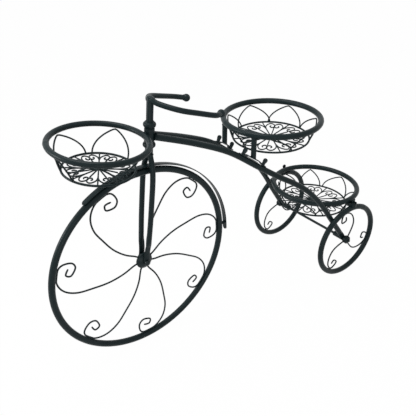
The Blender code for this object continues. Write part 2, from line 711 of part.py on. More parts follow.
# A basket hangs from the centre of its rim
def make_basket(name, sizes, home):
    rim_radius, rim_tube = sizes["rim_radius"], sizes["rim_tube"]
    floor_radius, drop = sizes["floor_radius"], sizes["drop"]
    bpy.ops.mesh.primitive_torus_add(major_radius=rim_radius, minor_radius=rim_tube,
                                     major_segments=rim_steps, minor_segments=tube_sides)
    rim = bpy.context.object
    rim_mesh = rim.data
    bpy.data.objects.remove(rim, do_unlink=True)
    round_off(rim_mesh)
    keep(name + "_basket_rim", rim_mesh, home)

    # Floor ring with the arches standing on it
    bpy.ops.mesh.primitive_torus_add(major_radius=floor_radius, minor_radius=floor_ring_wire_radius,
                                     major_segments=floor_ring_steps, minor_segments=6)
    ring = bpy.context.object
    ring_mesh = ring.data
    bpy.data.objects.remove(ring, do_unlink=True)
    round_off(ring_mesh)
    cage = keep(name + "_basket_cage", ring_mesh, home, (0, 0, -drop))
    peak_in, peak_down = polar(rim_tube + seat_gap + arch_wire_radius, arch_peak_angle)
    peak_radius = rim_radius - peak_in
    arches = []
    for number, (peak, foot) in enumerate(zip(sizes["peak_angles"], sizes["foot_angles"])):
        points = []
        for step in range(arch_steps + 1):
            side = 1 - 2 * step / arch_steps
            rise = 1 - abs(side)
            swing = math.copysign(1 - rise ** arch_bend, side)
            across, along = polar(floor_radius + (peak_radius - floor_radius) * rise
                                  + arch_foot_skew * swing, peak + foot * swing)
            points.append((across, along, -drop + (drop - peak_down) * rise))
        arches.append(as_mesh(wire(name + "_arch_" + str(number), points, arch_wire_radius,
                                   hexagon_section, home)))
    fuse(cage, arches)

    # Floor grille inside the ring
    reach = floor_radius * math.cos(half_turn / floor_ring_steps) - floor_ring_wire_radius - seat_gap
    bar_start = grille_disc_radius - grille_wire_radius
    disc = cylinder(name + "_basket_grille", grille_disc_radius, 2 * grille_disc_half_height, home,
                    small_steps)
    disc.location = (0, 0, -drop)
    wires = []
    for number in range(grille_bars):
        bar_degrees = grille_first_angle + 360 * number / grille_bars
        stalk_degrees = bar_degrees + 180 / grille_bars
        for label, degrees, length in (("bar", bar_degrees, reach),
                                       ("stalk", stalk_degrees, floor_radius * grille_stalk_share)):
            start, end = polar(bar_start, degrees), polar(length, degrees)
            wires.append(wire(name + "_" + label + "_" + str(number),
                              [(start[0], start[1], -drop), (end[0], end[1], -drop)],
                              grille_wire_radius, square_section, home))
        for label, hand in (("scroll_left", 1), ("scroll_right", -1)):
            direction = math.radians(bar_degrees)
            points = []
            for along, aside in zip(scroll_along_shares, scroll_aside_shares):
                forward, sideways = along * floor_radius, hand * aside * floor_radius
                points.append((forward * math.cos(direction) - sideways * math.sin(direction),
                               forward * math.sin(direction) + sideways * math.cos(direction), -drop))
            wires.append(wire(name + "_" + label + "_" + str(number), points, grille_wire_radius,
                              square_section, home))
    fuse(disc, [as_mesh(piece) for piece in wires])


front_home = guide("front_basket_centre",
                   (-(head_radius + seat_gap + front_basket["rim_tube"] + front_basket["rim_radius"]), 0,
                    front_rim_height), (math.radians(front_basket_roll), 0, 0), head)
middle_home = guide("middle_basket_centre", (front_x + middle_basket_reach, 0, middle_rim_height))
rear_home = guide("rear_basket_centre", (front_x + rear_basket_reach, 0, rear_rim_height), (0, rear_pitch, 0))
make_basket("front", front_basket, front_home)
make_basket("middle", middle_basket, middle_home)
make_basket("rear", rear_basket, rear_home)

# Posts and bowed strips under the middle basket
bow_foot, bow_shoulder = strip_length / 2 * strip_bow_foot_share, strip_length / 2 * strip_bow_shoulder_share
for side, sign in sides.items():
    strip_mesh = bpy.data.meshes.new(side + "_post_strip")
    work = bmesh.new()
    bmesh.ops.create_grid(work, x_segments=strip_rows, y_segments=1, size=1)
    for vertex in work.verts:
        along = vertex.co.x * strip_length / 2
        climb = min(max((bow_foot - abs(along)) / (bow_foot - bow_shoulder), 0), 1)
        bow = math.sin(quarter_turn * climb) ** 2
        vertex.co = (along, vertex.co.y * strip_width / 2, strip_seat + strip_rise * bow)
    work.to_mesh(strip_mesh)
    work.free()
    strip = keep(side + "_post_strip", strip_mesh)
    strip.matrix_world = strip_places[side]
    thicken = strip.modifiers.new("thicken", "SOLIDIFY")
    thicken.thickness = strip_thickness
    thicken.offset = 1
    for end, direction in (("front", -1), ("rear", 1)):
        depth = strip_thickness + 2 * cut_overrun
        place = strip_places[side] @ Matrix.Translation((direction * strip_screw_reach, 0, strip_seat))
        cut(strip, screw_hole(side + "_strip_hole_" + end, place, depth))

    # The post is cut square to the strip that it stands on
    strip_top = strip_seat + strip_rise + strip_thickness + seat_gap
    seat = strip_places[side] @ Vector((0, 0, strip_top))
    post_top = middle_rim_height - middle_basket["rim_tube"] - seat_gap
    post_length = post_top - seat.z + 2 * post_radius
    post = cylinder(side + "_post", post_radius, post_length, steps=small_steps)
    post.location = (post_x, sign * post_y, post_top - post_length / 2)
    round_off(post.data)
    wedge_mesh = bpy.data.meshes.new(side + "_post_wedge")
    work = bmesh.new()
    bmesh.ops.create_cube(work, size=1)
    bmesh.ops.scale(work, vec=(strip_length, strip_length, strip_length / 2), verts=work.verts)
    work.to_mesh(wedge_mesh)
    work.free()
    wedge = keep(side + "_post_wedge", wedge_mesh)
    wedge.matrix_world = strip_places[side] @ Matrix.Translation((0, 0, strip_top - strip_length / 4))
    cut(post, wedge)

# Tabs from the rear basket's rim to the wheel rings
for side, sign in sides.items():
    tab_mesh = bpy.data.meshes.new(side + "_basket_tab")
    inner = rear_basket["rim_radius"] - tab_inner_reach
    outer = rear_track_half + tab_outer_reach
    work = bmesh.new()
    bmesh.ops.create_cube(work, size=1)
    bmesh.ops.scale(work, vec=(tab_width, outer - inner, tab_thickness), verts=work.verts)
    work.to_mesh(tab_mesh)
    work.free()
    tab_x = front_x + wheelbase + tab_behind_axle
    tab_z = rear_ring_top + seat_gap + tab_thickness / 2
    tab = keep(side + "_basket_tab", tab_mesh, None, (tab_x, sign * (inner + outer) / 2, tab_z))
    hole = screw_hole(side + "_tab_hole", Matrix.Translation((tab_x, sign * rear_track_half, tab_z)),
                      tab_thickness + 2 * cut_overrun)
    cut(tab, hole)

# Wing screws: one shape, made once and shared
screw_shank = turned("screw_shank", [(0, screw_boss_length), (screw_boss_radius * 0.8, screw_boss_length),
                                     (screw_boss_radius, 0), (screw_radius, 0),
                                     (screw_radius, -screw_depth), (0, -screw_depth)],
                     loop=False, steps=small_steps)
wing_outline = [(0, wing_notch_share * wing_height)]
for across, up in zip(reversed(wing_across_shares), reversed(wing_up_shares)):
    wing_outline.append((across * wing_span_half, up * wing_height))
for across, up in zip(wing_across_shares, wing_up_shares):
    wing_outline.append((-across * wing_span_half, up * wing_height))
wings = as_mesh(plate("screw_wings", wing_outline, wing_thickness, rotation=(quarter_turn, 0, 0)))
fuse(screw_shank, [wings])
bpy.context.view_layer.update()
screw_mesh = bpy.data.meshes.new_from_object(
    screw_shank.evaluated_get(bpy.context.evaluated_depsgraph_get()))
make_cutter(screw_shank)

screw_places = {}
for side in sides:
    for end, direction in (("front", -1), ("rear", 1)):
        stand = strip_seat + strip_thickness + seat_gap
        screw_places[side + "_post_screw_" + end] = strip_places[side] @ Matrix.Translation(
            (direction * strip_screw_reach, 0, stand)) @ Matrix.Rotation(math.radians(middle_screw_turn), 4, "Z")
    screw_places[side + "_tab_screw"] = Matrix.Translation(
        (front_x + wheelbase + tab_behind_axle, sides[side] * rear_track_half,
         rear_ring_top + seat_gap + tab_thickness + seat_gap)) \
        @ Matrix.Rotation(math.radians(rear_screw_turn), 4, "Z")
for name, place in screw_places.items():
    screw = keep(name, screw_mesh)
    screw.matrix_world = place
screw_material = bpy.data.materials.new("wing_screw_paint")
screw_material.use_nodes = True
screw_shader = screw_material.node_tree.nodes["Principled BSDF"]
screw_shader.inputs["Base Color"].default_value = screw_colour
screw_shader.inputs["Roughness"].default_value = screw_roughness
screw_mesh.materials.clear()
screw_mesh.materials.append(screw_material)
bpy.context.view_layer.update()
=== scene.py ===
# Tricycle plant stand: satin black tubes, scrolled wire baskets and wheels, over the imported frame
import bpy
import math
from mathutils import Matrix, Vector


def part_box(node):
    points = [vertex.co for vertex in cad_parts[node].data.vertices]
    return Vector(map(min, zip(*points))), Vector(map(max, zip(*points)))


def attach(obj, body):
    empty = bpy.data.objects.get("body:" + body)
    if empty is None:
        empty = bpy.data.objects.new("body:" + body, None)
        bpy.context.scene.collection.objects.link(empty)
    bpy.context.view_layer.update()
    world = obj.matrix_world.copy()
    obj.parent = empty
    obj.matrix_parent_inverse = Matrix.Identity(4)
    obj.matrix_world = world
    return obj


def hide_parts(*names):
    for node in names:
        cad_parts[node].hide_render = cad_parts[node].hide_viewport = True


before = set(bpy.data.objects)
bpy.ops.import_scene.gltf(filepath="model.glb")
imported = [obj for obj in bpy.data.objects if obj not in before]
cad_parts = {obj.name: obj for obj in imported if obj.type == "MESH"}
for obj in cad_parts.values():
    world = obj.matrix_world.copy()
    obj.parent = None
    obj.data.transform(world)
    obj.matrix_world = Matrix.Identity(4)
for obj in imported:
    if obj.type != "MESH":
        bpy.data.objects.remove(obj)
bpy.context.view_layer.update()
print("frame loaded")

camera = {"place": (-0.67767, -0.805, 0.8942), "ahead": (0.5302, 0.67137, -0.51782),
          "up": (0.3243, 0.4046, 0.855), "fieldOfView": 41.934, "aimLeft": 0.00092}
ahead = Vector(camera["ahead"]).normalized()
right = ahead.cross(Vector(camera["up"])).normalized()
ahead = (ahead - right * camera["aimLeft"]).normalized()
right = ahead.cross(Vector(camera["up"])).normalized()
upward = right.cross(ahead)
bpy.ops.object.camera_add()
cameraObject = bpy.context.object
cameraObject.matrix_world = (Matrix.Translation(camera["place"])
                             @ Matrix((right, upward, -ahead)).transposed().to_4x4())
cameraObject.data.angle = math.radians(camera["fieldOfView"])
cameraObject.data.clip_start = 0.01
bpy.context.scene.camera = cameraObject
bpy.context.scene.view_settings.view_transform = "Standard"

# where the stand's own centres lie, in metres
stand = {"frontAxle": (-0.21477, 0, 0.21126), "rearAxle": (0.31413, 0, 0.100514),
         "headFoot": (-0.208598, 0, 0.210671), "headLean": 5.455, "track": 0.1198}
frontAxle = Matrix.Translation(stand["frontAxle"])
rearAxle = Matrix.Translation(stand["rearAxle"])
head = Matrix.Translation(stand["headFoot"]) @ Matrix.Rotation(math.radians(stand["headLean"]), 4, "Y")
sides = {"left": -1, "right": 1}
onEdge = Matrix.Rotation(math.pi / 2, 4, "X")     # stands a flat ring up on its edge


class Link:
    # a shader socket that takes part in sums, so a mask reads as plain arithmetic
    def __init__(self, tree, socket=None):
        self.tree, self.socket = tree, socket

    def add(self, kind, settings=None, sockets=None, out=0):
        node = self.tree.nodes.new(kind)
        for key, value in (settings or {}).items():
            if key == "stops":
                for index, (place, tone) in enumerate(value):
                    ramp = node.color_ramp.elements
                    stop = ramp[index] if index < len(ramp) else ramp.new(place)
                    stop.position, stop.color = place, (tone, tone, tone, 1)
            else:
                setattr(node, key, value)
        for key, value in (sockets or {}).items():
            if isinstance(value, Link):
                self.tree.links.new(value.socket, node.inputs[key])
            else:
                node.inputs[key].default_value = value
        return Link(self.tree, node.outputs[out]) if node.outputs else None

    def maths(self, operation, first, second):
        return self.add("ShaderNodeMath", {"operation": operation}, {0: first, 1: second})

    def __add__(self, other): return self.maths("ADD", self, other)
    def __radd__(self, other): return self.maths("ADD", other, self)
    def __sub__(self, other): return self.maths("SUBTRACT", self, other)
    def __rsub__(self, other): return self.maths("SUBTRACT", other, self)
    def __mul__(self, other): return self.maths("MULTIPLY", self, other)
    def __rmul__(self, other): return self.maths("MULTIPLY", other, self)

    def feed(self, node, socket):
        self.tree.links.new(self.socket, node.inputs[socket])


def powderCoat(name, look):
    # satin black powder coat: a fine orange peel, faint clouds where it lies thinner, a little dust
    material = bpy.data.materials.new(name)
    material.use_nodes = True
    tree = material.node_tree
    shader = tree.nodes["Principled BSDF"]
    start = Link(tree)
    spot = start.add("ShaderNodeTexCoord", out="Object")
    noise, ramp, mix = "ShaderNodeTexNoise", "ShaderNodeValToRGB", "ShaderNodeMix"
    cloud = start.add(noise, sockets={"Vector": spot, "Scale": look["cloudScale"], "Detail": 3.0}, out="Fac")
    peel = start.add(noise, sockets={"Vector": spot, "Scale": look["peelScale"], "Detail": 1.0}, out="Fac")
    grit = start.add(noise, sockets={"Vector": spot, "Scale": look["gritScale"], "Detail": 2.0}, out="Fac")
    thin = start.add(ramp, {"stops": [(look["thinFrom"], 0.0), (look["thinTo"], 1.0)]}, {"Fac": cloud})
    dust = start.add(ramp, {"stops": [(look["dustFrom"], 0.0), (look["dustTo"], 1.0)]}, {"Fac": grit})
    body = start.add(mix, {"data_type": "RGBA"}, {0: thin, 6: look["deep"], 7: look["thin"]}, out=2)
    dusting = dust * look["dustiness"]
    dusty = start.add(mix, {"data_type": "RGBA"}, {0: dusting, 6: body, 7: look["dust"]}, out=2)
    dusty.feed(shader, "Base Color")
    roughness = (look["roughness"] + (cloud - 0.5) * look["cloudSway"] + (peel - 0.5) * look["peelSway"]
                 + dusting)
    roughness.feed(shader, "Roughness")
    height = peel * look["peelShare"] + grit * (1 - look["peelShare"])
    bump = start.add("ShaderNodeBump", sockets={"Strength": look["bump"], "Distance": look["bumpDepth"],
                                                "Height": height})
    bump.feed(shader, "Normal")
    shader.inputs["Specular IOR Level"].default_value = look["gloss"]
    return material


coat = {"deep": (0.0060, 0.0138, 0.0156, 1), "thin": (0.0095, 0.0188, 0.0205, 1), "thinFrom": 0.35,
        "thinTo": 0.75, "dust": (0.06, 0.066, 0.066, 1), "dustiness": 0.10, "dustFrom": 0.62, "dustTo": 0.72,
        "roughness": 0.40, "cloudSway": 0.10, "peelSway": 0.06, "gloss": 0.14,
        "bump": 0.22, "bumpDepth": 0.0003, "peelShare": 0.75,
        "cloudScale": 22, "peelScale": 420, "gritScale": 1500}
tubeCoat = powderCoat("tubePowderCoat", coat)
wheelCoat = powderCoat("wheelPowderCoat", {**coat, "cloudScale": 30})
rimCoat = powderCoat("basketRimPowderCoat", {**coat, "cloudScale": 34, "roughness": 0.38})
wireCoat = powderCoat("wirePowderCoat", {**coat, "peelScale": 700, "roughness": 0.44, "gloss": 0.12})
stripCoat = powderCoat("stripPowderCoat", {**coat, "peelScale": 520, "roughness": 0.36})
screwCoat = powderCoat("screwPowderCoat", {**coat, "peelScale": 800, "roughness": 0.34, "gloss": 0.2})
weldCoat = powderCoat("weldPowderCoat", {**coat, "peelScale": 900, "roughness": 0.50, "bump": 0.5})
print("paints mixed")


def clearSelection():
    if bpy.context.object and bpy.context.object.mode != "OBJECT":
        bpy.ops.object.mode_set(mode="OBJECT")
    bpy.ops.object.select_all(action="DESELECT")


def pick(piece):
    clearSelection()
    piece.select_set(True)
    bpy.context.view_layer.objects.active = piece


def cleanUp(piece, name, place=Matrix(), angle=45):
    # puts the place into the mesh, welds its seams and turns its faces outwards
    piece.name = piece.data.name = name
    piece.data.transform(place @ piece.matrix_world)
    piece.matrix_world = Matrix()
    pick(piece)
    bpy.ops.object.mode_set(mode="EDIT")
    bpy.ops.mesh.select_all(action="SELECT")
    bpy.ops.mesh.remove_doubles(threshold=0.000005)
    bpy.ops.mesh.normals_make_consistent(inside=False)
    bpy.ops.object.mode_set(mode="OBJECT")
    bpy.ops.object.shade_smooth_by_angle(angle=math.radians(angle))
    return piece


def joined(name, pieces):
    clearSelection()
    for piece in pieces:
        piece.select_set(True)
    bpy.context.view_layer.objects.active = pieces[0]
    bpy.ops.object.join()
    pieces[0].name = pieces[0].data.name = name
    return pieces[0]


def copied(piece, name, place):
    pick(piece)
    bpy.ops.object.duplicate(linked=False)
    return cleanUp(bpy.context.object, name, place)


def dress(piece, body, coating, slot, *nodes):
    piece.data.materials.clear()
    piece.data.materials.append(coating)
    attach(piece, body)
    if nodes:
        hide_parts(*nodes)
    return piece


def flow(stops, steps):
    # a smooth run through stops that each hold the same number of values
    last = len(stops) - 1
    path = []
    for index in range(last):
        run = (stops[max(index - 1, 0)], stops[index], stops[index + 1], stops[min(index + 2, last)])
        for step in range(steps):
            share = step / steps
            spot = []
            for before, start, end, after in zip(*run):
                leaving, arriving = (end - before) / 2, (after - start) / 2
                bend = 3 * (end - start) - 2 * leaving - arriving
                turn = leaving + arriving - 2 * (end - start)
                spot.append(start + share * (leaving + share * (bend + share * turn)))
            path.append(tuple(spot))
    return path + [tuple(stops[last])]


def polar(radius, degrees):
    return radius * math.cos(math.radians(degrees)), radius * math.sin(math.radians(degrees))


def bendWire(name, path, radius, place=Matrix(), sides=12, thins=0):
    # a path drawn as a curve and given a round section; thins rounds off the far end
    clearSelection()
    bpy.ops.curve.primitive_nurbs_path_add()
    wire = bpy.context.object
    wire.data.splines.clear()
    line = wire.data.splines.new("POLY")
    line.points.add(len(path) - 1)
    for spot, stop in zip(line.points, path):
        spot.co = (*stop, 1)
    for back in range(thins):
        share = 1 - (back + 0.25) / thins
        line.points[-1 - back].radius = math.sqrt(1 - share * share)
    wire.data.bevel_depth = radius
    wire.data.bevel_resolution = (sides - 4) // 2
    wire.data.use_fill_caps = True
    bpy.ops.object.convert(target="MESH")
    return cleanUp(bpy.context.object, name, place)


buttWeld = {"reach": 0.3, "bevel": 0.35, "rise": 0.06}      # shares of a ring's facet, and of its thickness


def bendRing(name, radius, thickness, place, steps, around, seamAt=None):
    # a tube rolled into a ring, with a ground-down butt weld where its ends meet
    clearSelection()
    bpy.ops.mesh.primitive_torus_add(major_radius=radius, minor_radius=thickness,
                                     major_segments=steps, minor_segments=around)
    ring = bpy.context.object
    if seamAt is not None:
        bpy.ops.object.mode_set(mode="EDIT")
        bpy.ops.mesh.select_all(action="DESELECT")
        bpy.ops.object.mode_set(mode="OBJECT")
        seam = round(seamAt / 360 * steps) * 2 * math.pi / steps
        for vertex in ring.data.vertices:
            off = math.atan2(vertex.co.y, vertex.co.x) - seam
            vertex.select = abs(math.sin(off / 2)) < buttWeld["reach"] * math.pi / steps
        bpy.ops.object.mode_set(mode="EDIT")
        bpy.ops.mesh.bevel(offset=radius * buttWeld["bevel"] * math.pi / steps, segments=1, affect="EDGES")
        bpy.ops.transform.shrink_fatten(value=thickness * buttWeld["rise"])
        bpy.ops.object.mode_set(mode="OBJECT")
    return cleanUp(ring, name, place, 60)


def latheUp(name, profile, place=Matrix(), segments=40, hollow=False, angle=45):
    # a circle pulled up and scaled ring by ring along the profile's radius and height
    clearSelection()
    radius, height = profile[0]
    bpy.ops.mesh.primitive_circle_add(vertices=segments, radius=radius, location=(0, 0, height),
                                      fill_type="NOTHING" if hollow else "NGON")
    bpy.ops.object.mode_set(mode="EDIT")
    bpy.ops.mesh.select_all(action="SELECT")
    for nextRadius, nextHeight in profile[1:]:
        bpy.ops.mesh.extrude_region_move(TRANSFORM_OT_translate={"value": (0, 0, nextHeight - height)})
        grow = nextRadius / radius
        bpy.ops.transform.resize(value=(grow, grow, 1), center_override=(0, 0, nextHeight))
        radius, height = nextRadius, nextHeight
    bpy.ops.object.mode_set(mode="OBJECT")
    return cleanUp(bpy.context.object, name, place, angle)


def mirrored(half, closed=True):
    # a profile from its upper half; a hollow one ends where it starts
    whole = half + [(radius, -height) for radius, height in reversed(half)]
    return whole + half[:1] if closed else whole


def bead(radius, middle, bulge, half, steps):
    # half of a rounded band, from its upper to its lower edge
    stops = []
    for step in range(steps + 1):
        angle = math.pi * (step / steps - 0.5)
        stops.append((radius + bulge * math.cos(angle), middle - half * math.sin(angle)))
    return stops


ripples = {"dabSwell": 0.07, "dabWaves": 9, "seamSwell": 0.16, "seamWaves": 15}


def weldDab(place, size):
    # a small puddle of weld under the paint, with faint ripples
    clearSelection()
    bpy.ops.mesh.primitive_uv_sphere_add(segments=14, ring_count=8, radius=1)
    dab = bpy.context.object
    for vertex in dab.data.vertices:
        wave = math.sin(ripples["dabWaves"] * vertex.co.x)
        ripple = 1 + ripples["dabSwell"] * wave * (1 - abs(vertex.co.z))
        vertex.co = (vertex.co.x * size[0], vertex.co.y * size[1] * ripple, vertex.co.z * size[2] * ripple)
    return cleanUp(dab, "weldDab", place)


def weldSeam(place, radius, thickness):
    # a rippled bead of weld round the foot of a tube
    clearSelection()
    bpy.ops.mesh.primitive_torus_add(major_radius=radius, minor_radius=thickness,
                                     major_segments=60, minor_segments=8)
    seam = bpy.context.object
    for vertex in seam.data.vertices:
        around = math.atan2(vertex.co.y, vertex.co.x)
        swell = 1 + ripples["seamSwell"] * math.sin(ripples["seamWaves"] * around)
        reach = math.hypot(vertex.co.x, vertex.co.y)
        off = (reach - radius) * swell
        vertex.co = (vertex.co.x / reach * (radius + off), vertex.co.y / reach * (radius + off),
                     vertex.co.z * swell)
    return cleanUp(seam, "weldSeam", place)


def facing(spot, direction):
    # a place at a spot with its own Z along a direction
    turn = Vector((0, 0, 1)).rotation_difference(Vector(direction).normalized()).to_matrix().to_4x4()
    return Matrix.Translation(spot) @ turn


def outward(radius, degrees):
    # a place in a wheel's plane that faces away from the hub
    across, up = polar(radius, degrees)
    return facing((across, 0, up), (across, 0, up))


# Front wheel: ring, seven scrolled spokes and a dished hub
spokeEnds = {"inHub": 0.0005, "dabPastTouch": 0.0010, "dabPastHub": 0.0006}
frontWheel = {"ring": 0.20446, "tube": 0.0068, "hub": 0.0185, "wire": 0.0018, "touch": 0.1956,
              "ringDab": (0.0028, 0.0022, 0.0011), "hubDab": (0.0021, 0.0021, 0.0013), "dabTurn": 0.4,
              "spokesAt": (5, 51, 117, 168, 225, 272, 322),
              "reach": (0.0, 0.035, 0.16, 0.34, 0.57, 0.77, 0.92, 1.0, 0.985, 0.86, 0.795, 0.83, 0.895, 0.88),
              "turns": (20, 20.5, 26, 24.5, 19, 15, 9, 1, -8, -10.5, -7, -1, -2, -6.5)}


def spokePath(wheel, touchAt, steps=8):
    start = wheel["hub"] - spokeEnds["inHub"]
    stops = [(start + share * (wheel["touch"] - start), touchAt + turn)
             for share, turn in zip(wheel["reach"], wheel["turns"])]
    path = []
    for radius, degrees in flow(stops, steps):
        across, rise = polar(min(radius, wheel["touch"]), degrees)
        path.append((across, 0, rise))
    return path


dress(bendRing("frontWheelRing", frontWheel["ring"], frontWheel["tube"], frontAxle @ onEdge, 200, 24, 90),
      "steering", wheelCoat, "wheel_paint", "front_ring")
spokeWire = bendWire("frontSpokeFirst", spokePath(frontWheel, 0), frontWheel["wire"], thins=3)
frontWelds = []
for number, touchAt in enumerate(frontWheel["spokesAt"], 1):
    turn = frontAxle @ Matrix.Rotation(math.radians(-touchAt), 4, "Y")
    spoke = copied(spokeWire, "frontSpokeWire" + str(number), turn)
    dress(spoke, "steering", wheelCoat, "wheel_paint", "front_spoke_" + str(number))
    atRing = outward(frontWheel["touch"] + spokeEnds["dabPastTouch"], touchAt + frontWheel["dabTurn"])
    atHub = outward(frontWheel["hub"] + spokeEnds["dabPastHub"], touchAt + frontWheel["turns"][0])
    frontWelds.append(weldDab(frontAxle @ atRing, frontWheel["ringDab"]))
    frontWelds.append(weldDab(frontAxle @ atHub, frontWheel["hubDab"]))
bpy.data.objects.remove(spokeWire)
hubProfile = mirrored([(0.0034, 0.0084), (0.0075, 0.00835), (0.0098, 0.0078), (0.0122, 0.0066),
                       (0.0152, 0.0042), (0.0172, 0.0027), (0.0182, 0.0020), (0.0185, 0.0010)])
dress(latheUp("frontHubDisc", hubProfile, frontAxle @ onEdge, 64, True), "steering", wheelCoat, "wheel_paint",
      "front_hub")
axleBolt = {"shank": 0.003, "head": 0.0062, "headStart": 0.0124, "tip": 0.0203}
under = -axleBolt["headStart"]
boltProfile = [(0.0024, axleBolt["tip"]), (axleBolt["shank"], axleBolt["tip"] - 0.0006),
               (axleBolt["shank"], under), (axleBolt["head"], under), (axleBolt["head"], under - 0.0018),
               (0.0058, under - 0.0030), (0.0046, under - 0.0041), (0.0028, under - 0.0047),
               (0.0010, under - 0.0048)]
dress(latheUp("frontAxleBolt", boltProfile, frontAxle @ onEdge.inverted(), 40), "steering", screwCoat,
      "fastener_paint", "front_axle_bolt")
nutProfile = [(0.0034, 0.0124), (0.0054, 0.0124), (0.0062, 0.0130), (0.0062, 0.0166), (0.0054, 0.0172),
              (0.0036, 0.0172), (0.0034, 0.0124)]
dress(latheUp("frontAxleNut", nutProfile, frontAxle @ onEdge.inverted(), 6, True, 25), "steering", screwCoat,
      "fastener_paint", "front_axle_nut")
print("front wheel built")

# Fender: a thin strip from behind the wheel over its top to the front, held by two tabs
fender = {"outside": 0.2118, "half": 0.006, "thickness": 0.0018, "crown": 0.0004, "edge": 0.0004,
          "tail": -3, "top": 85, "front": 123.5, "tip": 0.006, "tipShare": 0.12,
          "riseTop": 0.0033, "riseTail": 0.0083, "riseFront": 0.0022}
fenderTab = {"at": {"rear": 2, "front": 111}, "wide": 0.008, "thick": 0.003, "overlap": 0.0009,
             "corner": 0.0006, "sink": 0.0002, "dab": (0.0030, 0.0050, 0.0010)}


def fenderRise(degrees):
    if degrees < fender["top"]:
        share = (fender["top"] - degrees) / (fender["top"] - fender["tail"])
        return fender["riseTop"] + (fender["riseTail"] - fender["riseTop"]) * share * share
    share = (degrees - fender["top"]) / (fender["front"] - fender["top"])
    return fender["riseTop"] + (fender["riseFront"] - fender["riseTop"]) * share * share


clearSelection()
bpy.ops.mesh.primitive_grid_add(x_subdivisions=150, y_subdivisions=6, size=2)
strip = bpy.context.object
for vertex in strip.data.vertices:
    share = (vertex.co.x + 1) / 2
    degrees = fender["tail"] + share * (fender["front"] - fender["tail"])
    toEnd = min(share, 1 - share) * math.radians(fender["front"] - fender["tail"]) * fender["outside"]
    rounding = math.sqrt(max(1 - (1 - min(toEnd / fender["tip"], 1)) ** 2, 0))
    crown = -fender["crown"] * vertex.co.y ** 2        # the strip is rolled a little hollow underneath
    across, rise = polar(fender["outside"] + fenderRise(degrees) + crown, degrees)
    vertex.co = (across, vertex.co.y * fender["half"] * max(rounding, fender["tipShare"]), rise)
thicken = strip.modifiers.new("thicken", "SOLIDIFY")
thicken.thickness, thicken.offset = fender["thickness"], -1
bpy.ops.object.modifier_apply(modifier="thicken")
soften = strip.modifiers.new("soften", "BEVEL")
soften.width, soften.segments, soften.limit_method = fender["edge"], 2, "ANGLE"
bpy.ops.object.modifier_apply(modifier="soften")
dress(cleanUp(strip, "fenderStrip", frontAxle), "steering", stripCoat, "strip_paint", "fender")
for end, degrees in fenderTab["at"].items():
    rise = fenderRise(degrees)
    clearSelection()
    bpy.ops.mesh.primitive_cube_add(size=1, scale=(rise + fenderTab["overlap"], fenderTab["wide"],
                                                   fenderTab["thick"]))
    bpy.ops.object.mode_set(mode="EDIT")
    bpy.ops.mesh.select_all(action="SELECT")
    bpy.ops.mesh.bevel(offset=fenderTab["corner"], segments=3, affect="EDGES")
    bpy.ops.object.mode_set(mode="OBJECT")
    across, up = polar(fender["outside"] + rise / 2 - fenderTab["sink"], degrees)
    spot = Matrix.Translation((across, 0, up)) @ Matrix.Rotation(-math.radians(degrees), 4, "Y")
    dress(cleanUp(bpy.context.object, "fenderTab" + end.title(), frontAxle @ spot), "steering", stripCoat,
          "strip_paint", "fender_tab_" + end)
    frontWelds.append(weldDab(frontAxle @ outward(fender["outside"] + fenderTab["sink"], degrees),
                              fenderTab["dab"]))
dress(joined("frontWheelWelds", frontWelds), "steering", weldCoat, "wheel_paint")
print("fender built")

# Steering head: heights run up the leaning steering axis
steering = {"neckFoot": 0.2374, "neckTop": 0.2516, "headFoot": 0.2641, "headTop": 0.2913, "collarTop": 0.3038,
            "head": 0.010, "collar": 0.0124, "bore": 0.0071, "stem": 0.0068, "gap": 0.00015, "bar": 0.3466}
collarShares = {"waist": 0.95, "shoulder": 0.86, "band": 0.74}      # of the head tube, and of the half height
neckProfile = [(0.0056, steering["neckFoot"] - 0.004), (0.0074, steering["neckFoot"] - 0.0015),
               (0.0078, steering["neckFoot"] + 0.001), (0.0078, steering["neckTop"] - 0.0035),
               (0.0074, steering["neckTop"] - 0.0012), (steering["stem"], steering["neckTop"] - 0.0003)]
dress(latheUp("forkNeckSocket", neckProfile, head), "steering", tubeCoat, "tube_paint", "fork_neck")


def collarProfile(foot, top):
    middle, half = (foot + top) / 2, (top - foot) / 2 - steering["gap"]
    waist = steering["head"] * collarShares["waist"]
    bore, chamfer, shoulder = steering["bore"], waist - 0.0006, half * collarShares["shoulder"]
    return ([(bore, middle + half), (chamfer, middle + half), (waist, middle + shoulder)]
            + bead(waist, middle, steering["collar"] - waist, half * collarShares["band"], 10)
            + [(waist, middle - shoulder), (chamfer, middle - half), (bore, middle - half),
               (bore, middle + half)])


dress(latheUp("lowerHeadCollar", collarProfile(steering["neckTop"], steering["headFoot"]), head, 48, True),
      "steering", tubeCoat, "tube_paint", "lower_collar")
dress(latheUp("upperHeadCollar", collarProfile(steering["headTop"], steering["collarTop"]), head, 48, True),
      "steering", tubeCoat, "tube_paint", "upper_collar")
headTop, headFoot = steering["headTop"] - steering["gap"], steering["headFoot"] + steering["gap"]
headProfile = [(steering["bore"], headTop), (0.0094, headTop), (0.0099, steering["headTop"] - 0.0005),
               (steering["head"], steering["headTop"] - 0.0012),
               (steering["head"], steering["headFoot"] + 0.0012), (0.0099, steering["headFoot"] + 0.0005),
               (0.0094, headFoot), (steering["bore"], headFoot), (steering["bore"], headTop)]
dress(latheUp("headTubeSleeve", headProfile, head, 48, True), "frame", tubeCoat, "tube_paint", "head_tube")
stemProfile = [(steering["stem"], steering["neckTop"]), (steering["stem"], steering["bar"] + 0.0012)]
stemProfile += [(radius, steering["bar"] + height) for radius, height in
                ((0.0062, 0.0030), (0.0049, 0.0041), (0.0027, 0.0048), (0.0008, 0.0050))]
dress(latheUp("steeringStem", stemProfile, head), "steering", tubeCoat, "tube_paint", "stem")

